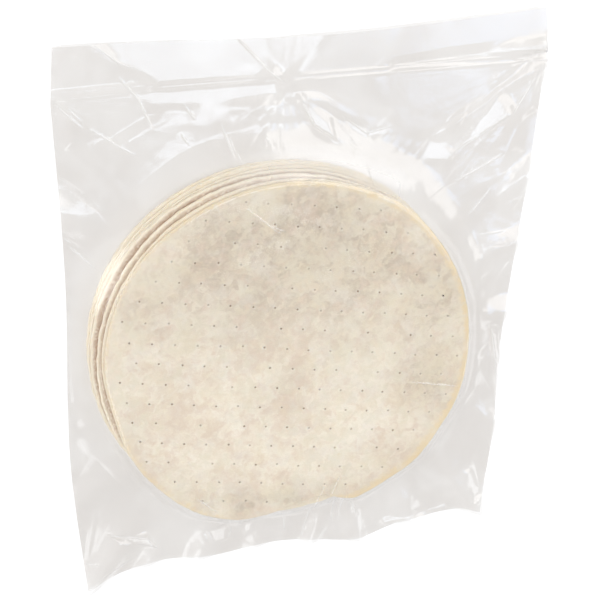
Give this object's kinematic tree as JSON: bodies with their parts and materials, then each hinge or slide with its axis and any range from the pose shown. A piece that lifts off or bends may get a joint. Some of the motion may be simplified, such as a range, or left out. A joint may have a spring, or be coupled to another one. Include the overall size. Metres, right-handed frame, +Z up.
{
  "type": "bag of flour tortillas",
  "caption": "Stack of round flour tortillas, a little slid over one another, sealed in a clear press-to-close bag that lies flat with its mouth at the back.",
  "frame": {"origin": "on the surface the bag lies on, under the middle of the bag's outline", "axes": "+Z up through the stack, +Y along the bag towards its mouth and its closure, +X to the right when the shown side is up and the mouth is at the top"},
  "size_m": [0.396, 0.483, 0.0234],
  "materials": {
    "clear_film": "clear, glossy, creased",
    "flour_tortilla": "matte, mottled cream with small docking marks"
  },
  "bodies": {
    "root": {"tortilla_bag": "clear_film"}
  },
  "joints": []
}
